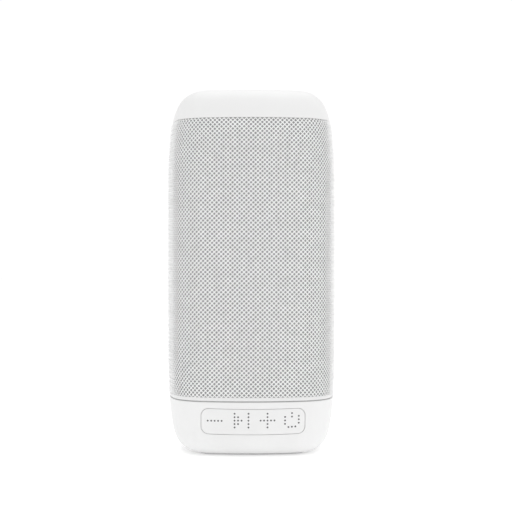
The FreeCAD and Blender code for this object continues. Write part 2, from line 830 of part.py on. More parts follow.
def make_ports():
    top = "main_board_low + main_board_thickness"
    back = "28.6"
    shell = new_body("usb")
    sketch = new_sketch(shell, "XZ_Plane", offset=f"-{back}")
    edges = ("usb_across - usb_width / 2", "usb_across + usb_width / 2", top,
             f"{top} + usb_height")
    rounded_box(sketch, *edges, ["1.2"] * 4)
    rounded_box(sketch, f"{edges[0]} + 0.3", f"{edges[1]} - 0.3", f"{edges[2]} + 0.3",
                f"{edges[3]} - 0.3", ["0.9"] * 4)
    pad = shell.newObject("PartDesign::Pad", "Sleeve")
    pad.Profile = sketch
    pad.Length = 7.3
    doc.recompute()
    rear = box("usb_rear", ("usb_across - usb_width / 2 + 0.2", "usb_across + usb_width / 2 - 0.2"),
               (f"{back} - 7.3", f"{back} - 6.3"), (f"{top} + 0.2", f"{top} + usb_height - 0.2"))
    tongue = box("usb_tongue", ("usb_across - 3.3", "usb_across + 3.3"),
                 (f"{back} - 6.5", f"{back} - 0.8"),
                 (f"{top} + usb_height / 2 - 0.35", f"{top} + usb_height / 2 + 0.35"))
    keep(fuse("usb_whole", shell, rear, tongue), "usb_c_socket")
    block = box("jack_block", ("jack_across - 3", "jack_across + 3"), ("15.6", "26.4"),
                (top, f"{top} + 5.2"))
    nose = cylinder("jack_nose", "2.9", "2.4", "jack_across", "26.2", JACK_UP, "+Y")
    bore = cylinder("jack_bore", "jack_bore_radius", "12.4", "jack_across", "16.6",
                    JACK_UP, "+Y")
    keep(cut("jack", fuse("jack_solid", block, nose), bore), "aux_jack")


# ---------------------------------------------------------------- cabinet

def cabinet_outline(sketch, inset):
    half = f"cabinet_side - {inset}"
    deep = f"cabinet_front - {inset}"
    rounded_box(sketch, f"-({half})", half, f"-({deep})", deep,
                [f"(cabinet_corner - {inset})"] * 4)


def cabinet_slab(body, inset, low, high):
    sketch = new_sketch(body, "XY_Plane", "Slab", offset=low)
    cabinet_outline(sketch, inset)
    pad = body.newObject("PartDesign::Pad", "Slab")
    pad.Profile = sketch
    bind(pad, "Length", f"{high} - ({low})")
    doc.recompute()


def make_cabinet():
    """The sealed box that the driver and the passive radiator are screwed into."""
    body = new_body("cabinet")
    sketch = new_sketch(body, "XY_Plane", "Tube", offset="cabinet_low")
    cabinet_outline(sketch, "0")
    cabinet_outline(sketch, "cabinet_wall")
    pad = body.newObject("PartDesign::Pad", "Tube")
    pad.Profile = sketch
    bind(pad, "Length", "cabinet_top - cabinet_low")
    doc.recompute()
    cabinet_slab(body, "1", "cabinet_low", "cabinet_floor")
    for radius, opening, front in (("driver_radius", "driver_opening", True),
                                   ("passive_radius", "passive_opening", False)):
        hole = new_sketch(body, "XZ_Plane", "Opening")
        circle(hole, "0", "driver_height", opening)
        through_pocket(body, hole, front)
        sign = "" if front else "-"
        seat = new_sketch(body, "XZ_Plane", "Seat",
                          offset=f"{sign}(cabinet_front - flange_thickness)")
        circle(seat, "0", "driver_height", f"{radius} + 0.1")
        through_pocket(body, seat, front)
    bores = new_sketch(body, "XY_Plane", "Bores", offset="cabinet_low")
    for dx in ("boss_place", "-boss_place"):
        for dy in ("boss_place - 1", "1 - boss_place"):
            circle(bores, dx, dy, "screw_radius")
    circle(bores, "0", "-14", "2.4")
    drill = body.newObject("PartDesign::Pocket", "Bores")
    drill.Profile = bores
    drill.Reversed = True
    bind(drill, "Length", "cabinet_floor - cabinet_low")
    doc.recompute()
    keep(body, "cabinet")
    seal = new_body("lid_seal")
    cabinet_slab(seal, "0.3", "cabinet_top", "cabinet_top + 0.5")
    inner = new_sketch(seal, "XY_Plane", "Hollow", offset="cabinet_top")
    cabinet_outline(inner, "cabinet_wall")
    hollow = seal.newObject("PartDesign::Pocket", "Hollow")
    hollow.Profile = inner
    hollow.Reversed = True
    hollow.Length = 1
    doc.recompute()
    keep(seal, "lid_seal")
    lid = new_body("lid")
    cabinet_slab(lid, "0", "cabinet_top + 0.5", "lid_top")
    holes = new_sketch(lid, "XY_Plane", "ScrewHoles", offset="cabinet_top")
    for dx in (1, -1):
        for dy in (1, -1):
            circle(holes, f"{dx} * 14", f"{dy} * 14", "screw_radius + 0.15")
    drill = lid.newObject("PartDesign::Pocket", "ScrewHoles")
    drill.Profile = holes
    drill.Reversed = True
    drill.Length = 5
    doc.recompute()
    keep(lid, "cabinet_lid")


def make_clamp_ring():
    """The ring that holds the sleeve's tucked edge against the cap's skirt."""
    body = new_body("clamp")

    def profile(sketch):
        polygon(sketch, [("half_width - 2.2", "sleeve_top + 0.03"),
                         ("half_width - 2.2", "cap_low - 0.03"),
                         ("half_width - 3.8", "cap_low - 0.03"),
                         ("half_width - 3.8", "sleeve_top + 0.03")])

    swept(body, profile)
    keep(body, "fabric_clamp_ring")


# ---------------------------------------------------------------- driver

DRIVER = ("0", "-cabinet_front", "driver_height", "-Y")
PASSIVE = ("0", "cabinet_front", "driver_height", "+Y")


def half_roll(inner, outer, rise):
    """A half-roll's section as a thin ring: up over the roll and back beneath it."""
    middle = f"(({inner}) + ({outer})) / 2"
    return [(inner, "-0.4"), (f"{inner} + 0.5", f"{rise} * 0.7"), (middle, rise),
            (f"{outer} - 0.5", f"{rise} * 0.7"), (outer, "-0.4"),
            (f"{outer} - 0.4", "-0.4"), (f"{outer} - 0.8", f"{rise} * 0.7 - 0.3"),
            (middle, f"{rise} - 0.4"), (f"{inner} + 0.8", f"{rise} * 0.7 - 0.3"),
            (f"{inner} + 0.4", "-0.4")]


def make_driver():
    """A round full-range driver; its heights are measured from its mounting face."""
    rim = "driver_opening - 0.2"
    keep(turned("basket", [
        (rim, "-flange_thickness"), ("driver_radius", "-flange_thickness"),
        ("driver_radius", "0"), ("cone_radius + 2.8", "0"), ("cone_radius + 2.8", "-1.6"),
        ("12.4", "-9.2"), ("12.4", "-10"), ("8", "-10"), ("8", "-11"), ("13", "-11"),
        ("13.4", "-9.4")], DRIVER), "driver_basket")
    keep(turned("top_plate", [
        ("coil_radius + 0.7", "-13.4"), ("magnet_radius - 2", "-13.4"),
        ("magnet_radius - 2", "-11"), ("coil_radius + 0.7", "-11")], DRIVER),
        "driver_top_plate")
    keep(turned("magnet", [
        ("7.4", "-18.4"), ("magnet_radius", "-18.4"), ("magnet_radius", "-13.4"),
        ("7.4", "-13.4")], DRIVER), "driver_magnet")
    keep(turned("yoke", [
        ("1.2", "-20.8"), ("magnet_radius - 0.6", "-20.8"), ("magnet_radius - 0.6", "-18.4"),
        ("pole_radius", "-18.4"), ("pole_radius", "-11"), ("1.2", "-11")], DRIVER),
        "driver_yoke")
    keep(turned("coil", [
        ("coil_radius", "-15.6"), ("coil_radius + 0.36", "-15.6"),
        ("coil_radius + 0.36", "-11.4"), ("coil_radius + 0.2", "-11.4"),
        ("coil_radius + 0.2", "-5.2"), ("coil_radius", "-5.2")], DRIVER), "voice_coil")
    keep(turned("spider", [
        ("coil_radius + 0.3", "-8.6"), ("7.4", "-8"), ("8.4", "-8.8"), ("9.4", "-8"),
        ("11.4", "-8.6"), ("11.4", "-9"), ("9.4", "-8.4"), ("8.4", "-9.2"),
        ("7.4", "-8.4"), ("coil_radius + 0.3", "-9")], DRIVER), "driver_spider")
    keep(turned("cone", [
        ("coil_radius + 0.3", "-6.2"), ("cone_radius", "-0.8"), ("cone_radius", "-0.4"),
        ("coil_radius + 0.3", "-5.7")], DRIVER), "driver_cone")
    keep(turned("dust_cap", [
        ("0", "-2.6"), ("3", "-3"), ("5.4", "-4.3"), ("6.2", "-5.3"), ("5.8", "-5.3"),
        ("5.2", "-4.5"), ("3", "-3.4"), ("0", "-3")], DRIVER), "driver_dust_cap")
    keep(turned("surround", half_roll("cone_radius + 0.1", "cone_radius + 2.7", "0.9"),
                DRIVER), "driver_surround")
    keep(turned("driver_ring", [
        ("cone_radius + 3", "0"), ("driver_radius", "0"), ("driver_radius", "0.5"),
        ("cone_radius + 3", "0.5")], DRIVER), "driver_gasket")
    keep(box("terminals", ("-4.5", "4.5"), ("-14.4", "-12.8"),
             ("terminal_low", "75.4")),
         "driver_terminals")


def make_passive():
    keep(turned("passive_ring", [
        ("plate_radius + 4.2", "-flange_thickness"), ("passive_radius", "-flange_thickness"),
        ("passive_radius", "0"), ("plate_radius + 4.2", "0")], PASSIVE), "passive_frame")
    keep(turned("passive_roll", half_roll("plate_radius + 0.1", "plate_radius + 4.1", "1.3"),
                PASSIVE), "passive_surround")
    keep(turned("passive_disc", [
        ("0", "-3.2"), ("5", "-3.2"), ("5", "-1"), ("plate_radius", "-1"),
        ("plate_radius", "-0.1"), ("0", "-0.1")], PASSIVE), "passive_plate")


# ---------------------------------------------------------------- power and wiring

def make_power():
    keep(cylinder("cell", "cell_radius", "cell_length", "0", "cell_back", "cell_low"),
         "battery_cell")
    cup = cylinder("cup", "cell_radius + 1.4", "6", "0", "cell_back", "cabinet_floor")
    strap = cylinder("strap", "cell_radius + 1.4", "6", "0", "cell_back", "58")
    post = box("post", ("-4", "4"), ("cell_back + cell_radius + 0.2", "cabinet_front - cabinet_wall"),
               ("cabinet_floor", "64"))
    hollow = cylinder("hollow", "cell_radius + 0.1", "80", "0", "cell_back",
                      "cell_low - 0.1")
    keep(cut("cradle", fuse("cradle_solid", cup, strap, post), hollow), "battery_cradle")


def make_wires():
    """Held leads: two to the driver's terminals, two to the cell, one ribbon to the keys."""
    for side, sign in (("a", 1), ("b", -1)):
        keep(wire_tube(f"speaker_lead_{side}", [
            (f"{sign} * 0.9", "-14", "main_board_low + main_board_thickness"),
            (f"{sign} * 0.9", "-14", "34"),
            (f"{sign} * 2.6", "-11", "50"),
            (f"{sign} * 2.6", "-13.6", "62"),
            (f"{sign} * 2.6", "-13.6", "terminal_low")], "wire_radius"), f"speaker_lead_{side}")
    ribbon = doc.addObject("Part::Feature", "ribbon")
    ribbon.Shape = ribbon_shape()
    keep(ribbon, "keypad_ribbon")


def ribbon_shape():
    """A flat flexible cable from the keypad board's back, bent down to the main board."""
    left, right = -4.0, 4.0
    thickness = 0.3
    bend = 3.0
    start = value("-board_front + board_thickness")
    low = value("main_board_low + main_board_thickness")
    high = low + bend + 1.3
    back = start + 1
    mid_bend = bend * math.sin(math.pi / 4)
    route = Part.Wire([
        Part.LineSegment(Vector(left, start, high), Vector(left, back, high)).toShape(),
        Part.Arc(Vector(left, back, high),
                 Vector(left, back + mid_bend, high - bend + mid_bend),
                 Vector(left, back + bend, high - bend)).toShape(),
        Part.LineSegment(Vector(left, back + bend, high - bend),
                         Vector(left, back + bend, low)).toShape()])
    section = Part.makePolygon([Vector(left, start, high), Vector(right, start, high),
                                Vector(right, start, high + thickness),
                                Vector(left, start, high + thickness),
                                Vector(left, start, high)])
    return route.makePipeShell([section], True, False)


def make_screws():
    places = [(dx, dy) for dx in ("boss_place", "-boss_place")
              for dy in ("boss_place - 1", "1 - boss_place")]
    case = []
    for number, (across, back) in enumerate(places):
        shank = cylinder(f"case_shank_{number}", "screw_radius",
                         "cabinet_floor - foot_top", across, back, "foot_top")
        case.append(shank)
    keep(group("case_screw_set", *case), "case_screws")
    cap = []
    for number, (dx, dy) in enumerate([(1, 1), (1, -1), (-1, 1), (-1, -1)]):
        shank = cylinder(f"cap_shank_{number}", "screw_radius", "9", f"{dx} * 14",
                         f"{dy} * 14", "cabinet_top - 0.5")
        head = cylinder(f"cap_head_{number}", "2.1", "1.6", f"{dx} * 14", f"{dy} * 14",
                        "cabinet_top - 1.1")
        cap.append(fuse(f"cap_screw_{number}", shank, head))
    keep(group("cap_screw_set", *cap), "cap_screws")


make_base_shell()
make_foot_pad()
make_seam_gasket()
make_trim_rim()
make_fabric()
make_grille_frame()
make_top_cap()
make_clamp_ring()
make_keys()
make_keypad_carrier()
make_keypad_board()
make_main_board()
make_ports()
make_cabinet()
make_driver()
make_passive()
make_power()
make_wires()
make_screws()
doc.recompute()

for item in doc.Objects:
    if "Invalid" in item.State or "Error" in item.State:
        raise RuntimeError(f"{item.Label} did not compute: {item.State}")
os.makedirs("parts", exist_ok=True)
for item in sub_parts:
    if item.Shape.isNull() or not item.Shape.isValid():
        raise RuntimeError(f"{item.Label} has no valid shape")
    item.Shape.exportStep(f"parts/{item.Label}.step")
    print(f"{item.Label}: {item.Shape.Volume:.1f} mm3, {len(item.Shape.Solids)} solid(s)")
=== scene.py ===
import json
import math

import bpy
import numpy as np
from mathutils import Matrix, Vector


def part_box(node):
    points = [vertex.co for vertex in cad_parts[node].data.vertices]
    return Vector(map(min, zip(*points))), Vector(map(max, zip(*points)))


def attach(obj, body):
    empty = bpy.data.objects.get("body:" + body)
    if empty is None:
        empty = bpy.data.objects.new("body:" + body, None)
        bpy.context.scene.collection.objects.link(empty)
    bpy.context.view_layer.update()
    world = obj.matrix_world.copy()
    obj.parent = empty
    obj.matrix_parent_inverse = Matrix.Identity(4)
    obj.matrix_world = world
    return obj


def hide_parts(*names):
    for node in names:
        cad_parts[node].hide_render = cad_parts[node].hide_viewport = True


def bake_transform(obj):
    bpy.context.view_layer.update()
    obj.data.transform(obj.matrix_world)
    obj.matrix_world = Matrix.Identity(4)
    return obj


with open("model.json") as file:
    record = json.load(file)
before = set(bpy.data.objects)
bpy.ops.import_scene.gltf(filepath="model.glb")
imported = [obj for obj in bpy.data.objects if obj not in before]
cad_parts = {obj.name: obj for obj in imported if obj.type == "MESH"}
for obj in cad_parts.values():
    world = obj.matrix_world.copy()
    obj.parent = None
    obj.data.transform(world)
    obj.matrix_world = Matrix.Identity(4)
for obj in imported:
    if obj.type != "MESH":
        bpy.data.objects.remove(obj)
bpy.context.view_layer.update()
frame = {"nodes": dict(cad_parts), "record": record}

# A portable tube speaker: white cap and base, a woven sleeve between them and a dot-symbol
# keypad in front. Metres, +Z up, the front towards -Y, as in the CAD frame.

MM = 0.001

# ---------------------------------------------------------------- places from the frame

fabric_low, fabric_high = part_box("grille_fabric")
gasket_low, gasket_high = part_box("seam_gasket")

HALF_WIDTH = (fabric_high[0] - fabric_low[0]) / 2
FOOT_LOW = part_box("foot_pad")[0][2]
SHELL_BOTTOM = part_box("base_shell")[0][2]
SEAM_LOW = gasket_low[2]
SEAM_HIGH = gasket_high[2]
SLEEVE_LOW = fabric_low[2]
FULL_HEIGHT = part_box("top_cap")[1][2]

# ---------------------------------------------------------------- the object's curves

FACE_RADIUS = 73.0 * MM
CORNER_RADIUS = 15.8 * MM
LOW_INSET = 0.5 * MM
FLANK_LEAN = math.radians(2.7)
FLANK_RADIUS = 80.0 * MM
FLANK_FOOT = 8.5 * MM
HEEL_RADIUS = 17.0 * MM
TOE_HEIGHT = 4.5 * MM
TOE_RADIUS = 6.7 * MM
TAPER_RADIUS = 425.0 * MM
TAPER_HEIGHT = 40.0 * MM
SHOULDER_RADIUS = 190.0 * MM
SHOULDER_HEIGHT = 98.0 * MM
TUCK_HEIGHT = 119.7 * MM
TUCK_INSET = 1.75 * MM
CAP_LOW = 120.6 * MM
SLEEVE_TOP = CAP_LOW
CAP_INSET = 1.67 * MM
CAP_LEAN = math.radians(8.2)
CAP_SIDE_RADIUS = 20.0 * MM
CAP_BEND = 127.0 * MM
CAP_EDGE_RADIUS = 8.03 * MM
SKIRT = 2.4 * MM
WALL = 1.8 * MM
FOOT_INSET = 10.2 * MM

# Points round the plan curve on every loft.
AROUND = 432

# The keypad's outline: left, right, low, high, its round corners, the gap and the edge.
PANEL = (-18.44 * MM, 18.44 * MM, 8.46 * MM, 17.52 * MM)
PANEL_CORNER = 2.6 * MM
PANEL_GAP = 0.12 * MM
PANEL_EDGE = 0.1 * MM
PANEL_BOW = 0.25 * MM
SKIN = 1.0 * MM


def plan_arcs():
    """The plan curve as arcs from the middle of the back, anticlockwise from above:
    centre, radius, first angle and length of each."""
    reach = FACE_RADIUS - HALF_WIDTH
    spread = (FACE_RADIUS - CORNER_RADIUS) ** 2
    middle = (math.sqrt(2 * spread - reach ** 2) - reach) / 2
    swing = math.atan2(middle, middle + reach)
    arcs = []
    for side in range(4):
        turn = math.pi / 2 * (1 + side)
        back = (-reach * math.cos(turn), -reach * math.sin(turn))
        corner = (middle * (math.cos(turn) - math.sin(turn)),
                  middle * (math.sin(turn) + math.cos(turn)))
        if side:
            arcs.append((*back, FACE_RADIUS, turn - swing, 2 * swing))
        else:
            arcs.append((*back, FACE_RADIUS, turn, swing))
        arcs.append((*corner, CORNER_RADIUS, turn + swing, math.pi / 2 - 2 * swing))
    turn = math.pi / 2 * 5
    arcs.append((-reach * math.cos(turn), -reach * math.sin(turn), FACE_RADIUS,
                 turn - swing, swing))
    return np.array(arcs)


ARCS = plan_arcs()
ARC_STARTS = np.concatenate([[0], np.cumsum(ARCS[:, 2] * ARCS[:, 4])])
PERIMETER = ARC_STARTS[-1]


def plan(along):
    """Points and outward normals of the plan curve at distances along it."""
    along = np.mod(np.asarray(along, float), PERIMETER)
    which = np.clip(np.searchsorted(ARC_STARTS, along, side="right") - 1, 0, len(ARCS) - 1)
    arcs = ARCS[which]
    angle = arcs[..., 3] + (along - ARC_STARTS[which]) / arcs[..., 2]
    normal = np.stack([np.cos(angle), np.sin(angle)], axis=-1)
    return arcs[..., :2] + normal * arcs[..., 2:3], normal


def run(inset, height, lean, radius, rise, steps):
    """An arc of a side profile: its (inset, height) points after the first, and its end."""
    up = math.copysign(1, rise)
    last = math.asin(math.sin(lean) + abs(rise) / radius)
    points = []
    for step in range(1, steps + 1):
        turn = lean + (last - lean) * step / steps
        points.append((inset + radius * (math.cos(lean) - math.cos(turn)),
                       height + up * radius * (math.sin(turn) - math.sin(lean))))
    return points, last


def sleeve_inset(height):
    """How far the sleeve stands in from the plan curve at a height."""
    low = np.clip(TAPER_HEIGHT - height, 0, None) ** 2 / (2 * TAPER_RADIUS)
    high = np.clip(height - SHOULDER_HEIGHT, 0, None) ** 2 / (2 * SHOULDER_RADIUS)
    tuck = np.clip((height - TUCK_HEIGHT) / (SLEEVE_TOP - TUCK_HEIGHT), 0, 1)
    edge = (TUCK_HEIGHT - SHOULDER_HEIGHT) ** 2 / (2 * SHOULDER_RADIUS)
    return low + np.minimum(high, edge) + tuck * (TUCK_INSET - edge)


# ---------------------------------------------------------------- mesh helpers

def new_mesh(name, vertices, faces, sharp_angle=None):
    mesh = bpy.data.meshes.new(name)
    mesh.from_pydata([tuple(v) for v in vertices], [], faces)
    mesh.validate()
    piece = bpy.data.objects.new(name, mesh)
    bpy.context.scene.collection.objects.link(piece)
    mesh.shade_smooth()
    if sharp_angle:
        mesh.set_sharp_from_angle(angle=math.radians(sharp_angle))
    return piece


def loft(name, rings, closed, sharp_angle=35):
    """A solid whose every level is the plan curve set in.

    rings are (inset, height) or (inset, height, scale). A closed loft joins its last ring
    to its first; an open one is closed with a flat fan at each end.
    """
    along = np.arange(AROUND) / AROUND * PERIMETER
    points, normals = plan(along)
    vertices = []
    for inset, height, *scale in rings:
        flat = (points - normals * inset) * (scale[0] if scale else 1)
        vertices.extend((x, y, height) for x, y in flat)
    faces = []
    count = len(rings)
    for level in range(count if closed else count - 1):
        a = level * AROUND
        b = (level + 1) % count * AROUND
        for i in range(AROUND):
            j = (i + 1) % AROUND
            faces.append((a + i, b + i, b + j, a + j))
    if not closed:
        for level, order in ((0, 1), (count - 1, -1)):
            middle = len(vertices)
            vertices.append((0, 0, rings[level][1]))
            start = level * AROUND
            for i in range(AROUND):
                j = (i + 1) % AROUND
                fan = (start + i, start + j, middle)
                faces.append(fan if order == 1 else fan[::-1])
    return new_mesh(name, vertices, faces, sharp_angle)


def flat_rings(inset, height, outward):
    """Rings across a flat level, from near the middle out to an inset, or back again."""
    rings = [(inset, height, scale) for scale in (0.25, 0.5, 0.75, 0.9)]
    return rings if outward else rings[::-1]


def rounded_outline(left, right, low, high, radius, steps=10):
    """Points round a rectangle with round corners, anticlockwise."""
    corners = [(right - radius, high - radius, 0), (left + radius, high - radius, 1),
               (left + radius, low + radius, 2), (right - radius, low + radius, 3)]
    return [(x + radius * math.cos((quarter + step / steps) * math.pi / 2),
             z + radius * math.sin((quarter + step / steps) * math.pi / 2))
            for x, z, quarter in corners for step in range(steps + 1)]


def bow(across):
    """How far the keypad's upper and lower edges sag at a place across."""
    return PANEL_BOW * (1 - (across / PANEL[1]) ** 2)


def panel_outline(grow):
    """The keypad's outline in (x, z), larger all round by a distance."""
    left, right, low, high = PANEL
    outline = rounded_outline(left - grow, right + grow, low - grow, high + grow,
                              PANEL_CORNER + grow)
    fine = []
    for (x1, z1), (x2, z2) in zip(outline, outline[1:] + outline[:1]):
        count = max(1, round(abs(x2 - x1) / MM))
        fine += [(x1 + (x2 - x1) * i / count, z1 + (z2 - z1) * i / count)
                 for i in range(count)]
    return [(x, z - bow(x)) for x, z in fine]


def prism(name, outline, y_from, y_to):
    """A block along Y with an outline of (x, z) points."""
    count = len(outline)
    vertices = [(x, y, z) for y in (y_from, y_to) for x, z in outline]
    faces = [tuple(range(count)), tuple(range(2 * count - 1, count - 1, -1))]
    for i in range(count):
        j = (i + 1) % count
        faces.append((i, count + i, count + j, j))
    return new_mesh(name, vertices, faces)


def cut_away(piece, cutters, sharp_angle=35):
    """Cut solids out of a piece, apply the result and remove the cutters."""
    for cutter in cutters:
        modifier = piece.modifiers.new("cut", "BOOLEAN")
        modifier.operation = "DIFFERENCE"
        modifier.solver = "EXACT"
        modifier.object = cutter
        graph = bpy.context.evaluated_depsgraph_get()
        result = bpy.data.meshes.new_from_object(piece.evaluated_get(graph))
        old = piece.data
        piece.modifiers.clear()
        piece.data = result
        bpy.data.meshes.remove(old)
        bpy.data.objects.remove(cutter)
    piece.data.shade_smooth()
    piece.data.set_sharp_from_angle(angle=math.radians(sharp_angle))
    return piece


# ---------------------------------------------------------------- materials

class Nodes:
    """A material's node tree with short calls to add and join nodes."""

    def __init__(self, name):
        self.material = bpy.data.materials.new(name)
        self.material.use_nodes = True
        self.tree = self.material.node_tree
        self.shader = self.tree.nodes["Principled BSDF"]
        self.place = self.tree.nodes.new("ShaderNodeTexCoord").outputs["Object"]

    def set(self, socket, value):
        self.shader.inputs[socket].default_value = value

    def link(self, out, into):
        self.tree.links.new(out, into)

    def noise(self, scale, detail=4.0, rough=0.55, stretch=None):
        node = self.tree.nodes.new("ShaderNodeTexNoise")
        node.inputs["Scale"].default_value = scale
        node.inputs["Detail"].default_value = detail
        node.inputs["Roughness"].default_value = rough
        source = self.place
        if stretch:
            mapping = self.tree.nodes.new("ShaderNodeMapping")
            mapping.inputs["Scale"].default_value = stretch
            self.link(source, mapping.inputs["Vector"])
            source = mapping.outputs["Vector"]
        self.link(source, node.inputs["Vector"])
        return node.outputs["Fac"]

    def spread(self, source, low, high, start=0.3, end=0.7):
        """A number from low to high as the source goes from start to end."""
        node = self.tree.nodes.new("ShaderNodeMapRange")
        for socket, number in (("From Min", start), ("From Max", end),
                               ("To Min", low), ("To Max", high)):
            node.inputs[socket].default_value = number
        self.link(source, node.inputs["Value"])
        return node.outputs["Result"]

    def colours(self, source, dark, light):
        """The base colour, mixed from dark to light by the source."""
        node = self.tree.nodes.new("ShaderNodeMix")
        node.data_type = "RGBA"
        first, second = [socket for socket in node.inputs if socket.type == "RGBA"]
        first.default_value = (*dark, 1)
        second.default_value = (*light, 1)
        self.link(source, node.inputs["Factor"])
        result = [socket for socket in node.outputs if socket.type == "RGBA"][0]
        self.link(result, self.shader.inputs["Base Color"])

    def bump(self, source, distance):
        node = self.tree.nodes.new("ShaderNodeBump")
        node.inputs["Strength"].default_value = 1.0
        node.inputs["Distance"].default_value = distance
        self.link(source, node.inputs["Height"])
        self.link(node.outputs["Normal"], self.shader.inputs["Normal"])


def tinted(colour, factor):
    return tuple(min(1.0, part * factor) for part in colour)


def moulded_plastic(name, colour, rough=0.5):
    """Matte moulded plastic: a fine eroded grain, a slow drift of shade and gloss."""
    nodes = Nodes(name)
    nodes.set("Specular IOR Level", 0.4)
    drift = nodes.noise(scale=60.0, detail=3.0)
    nodes.colours(nodes.spread(drift, 0, 1), tinted(colour, 0.985), tinted(colour, 1.01))
    fine = nodes.noise(scale=5200.0, detail=2.0, rough=0.5)
    nodes.link(nodes.spread(fine, rough - 0.05, rough + 0.05), nodes.shader.inputs["Roughness"])
    nodes.bump(fine, 0.012 * MM)
    return nodes.material


def thread_material(name, colour):
    """A matte synthetic yarn: fine fibres along it, lighter and darker stretches."""
    nodes = Nodes(name)
    nodes.set("Roughness", 0.62)
    nodes.set("Specular IOR Level", 0.06)
    drift = nodes.noise(scale=420.0, detail=3.0)
    nodes.colours(nodes.spread(drift, 0, 1), tinted(colour, 0.93), tinted(colour, 1.03))
    fibres = nodes.noise(scale=9000.0, detail=3.0, rough=0.6)
    nodes.bump(fibres, 0.02 * MM)
    return nodes.material


def rubber(name, colour, rough=0.8):
    """Dull rubber, card or foam, mottled in shade and gloss."""
    nodes = Nodes(name)
    nodes.set("Specular IOR Level", 0.25)
    drift = nodes.noise(scale=300.0, detail=5.0)
    nodes.colours(nodes.spread(drift, 0, 1), tinted(colour, 0.9), tinted(colour, 1.08))
    nodes.link(nodes.spread(drift, rough - 0.06, min(1, rough + 0.06)),
               nodes.shader.inputs["Roughness"])
    nodes.bump(nodes.noise(scale=3000.0, detail=3.0), 0.02 * MM)
    return nodes.material


def brushed_metal(name, colour, rough=0.35):
    """Metal with fine lines that change its shade and gloss."""
    nodes = Nodes(name)
    nodes.set("Metallic", 1.0)
    lines = nodes.noise(scale=900.0, stretch=(1, 1, 14))
    nodes.colours(nodes.spread(lines, 0, 1), tinted(colour, 0.88), tinted(colour, 1.05))
    nodes.link(nodes.spread(lines, rough - 0.08, rough + 0.1), nodes.shader.inputs["Roughness"])
    nodes.bump(lines, 0.006 * MM)
    return nodes.material


def circuit_board(name, colour):
    """Solder mask over faint tracks."""
    nodes = Nodes(name)
    nodes.set("Specular IOR Level", 0.5)
    tracks = nodes.noise(scale=700.0, detail=1.0, stretch=(1, 0.2, 1))
    nodes.colours(nodes.spread(tracks, 0, 1, 0.47, 0.53), colour, tinted(colour, 1.5))
    gloss = nodes.spread(nodes.noise(scale=2000.0), 0.3, 0.45)
    nodes.link(gloss, nodes.shader.inputs["Roughness"])
    nodes.bump(tracks, 0.01 * MM)
    return nodes.material


WHITE_CAP = (0.83, 0.83, 0.828)
WHITE_BASE = (0.835, 0.835, 0.833)

MATERIALS = {
    "cap_plastic": moulded_plastic("cap_plastic", WHITE_CAP),
    "base_plastic": moulded_plastic("base_plastic", WHITE_BASE),
    "mesh_fabric": thread_material("mesh_fabric", (0.94, 0.94, 0.94)),
    "trim_plastic": moulded_plastic("trim_plastic", (0.78, 0.78, 0.78), rough=0.45),
    "dark_seal": rubber("dark_seal", (0.42, 0.42, 0.42)),
    "foot_rubber": rubber("foot_rubber", (0.62, 0.62, 0.62)),
    "key_silicone": moulded_plastic("key_silicone", (0.828, 0.828, 0.826), rough=0.58),
    "dot_grey": moulded_plastic("dot_grey", (0.10, 0.10, 0.105), rough=0.6),
    "abs_black": moulded_plastic("abs_black", (0.025, 0.025, 0.027), rough=0.45),
    "frame_grey": moulded_plastic("frame_grey", (0.5, 0.5, 0.5), rough=0.5),
    "board_green": circuit_board("board_green", (0.02, 0.11, 0.05)),
    "chip_black": moulded_plastic("chip_black", (0.02, 0.02, 0.02), rough=0.4),
    "steel": brushed_metal("steel", (0.60, 0.60, 0.62)),
    "socket_metal": brushed_metal("socket_metal", (0.68, 0.68, 0.70), rough=0.3),
    "ferrite": rubber("ferrite", (0.05, 0.05, 0.055), rough=0.6),
    "paper_cone": rubber("paper_cone", (0.04, 0.04, 0.045), rough=0.85),
    "foam_black": rubber("foam_black", (0.02, 0.02, 0.02), rough=0.9),
    "coil_copper": brushed_metal("coil_copper", (0.72, 0.36, 0.18)),
    "cell_wrap": moulded_plastic("cell_wrap", (0.03, 0.10, 0.30), rough=0.25),
    "wire_skin": rubber("wire_skin", (0.35, 0.02, 0.02), rough=0.5),
    "ribbon": moulded_plastic("ribbon", (0.42, 0.20, 0.04), rough=0.35),
    "led_lens": moulded_plastic("led_lens", (0.80, 0.80, 0.72), rough=0.2),
}

for part in frame["record"]["subparts"]:
    node = frame["nodes"][part["node"]]
    node.data.materials.clear()
    node.data.materials.append(MATERIALS[part["material_slot"]])


def finish_piece(piece, slot, body="housing", node=None):
    """Give a piece the material for a slot, put it on a body and hide the CAD node that it
    stands for.
    """
    piece.data.materials.clear()
    piece.data.materials.append(MATERIALS[slot])
    if body:
        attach(piece, body)
    if node:
        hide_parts(node)
    return piece


# ---------------------------------------------------------------- camera, floor and light

def make_camera():
    """A level camera in front of the speaker, a little round to its left."""
    data = bpy.data.cameras.new("camera")
    data.sensor_width = 36
    data.lens = 98.5
    data.clip_start = 0.01
    camera = bpy.data.objects.new("camera", data)
    away, aside, height = 0.525, 1.8 * MM, 71.5 * MM
    turn = math.radians(-1.6)
    camera.location = (aside * math.cos(turn) + away * math.sin(turn),
                       aside * math.sin(turn) - away * math.cos(turn), height)
    camera.rotation_euler = (math.radians(90), 0, turn)
    bpy.context.scene.collection.objects.link(camera)
    bpy.context.scene.camera = camera


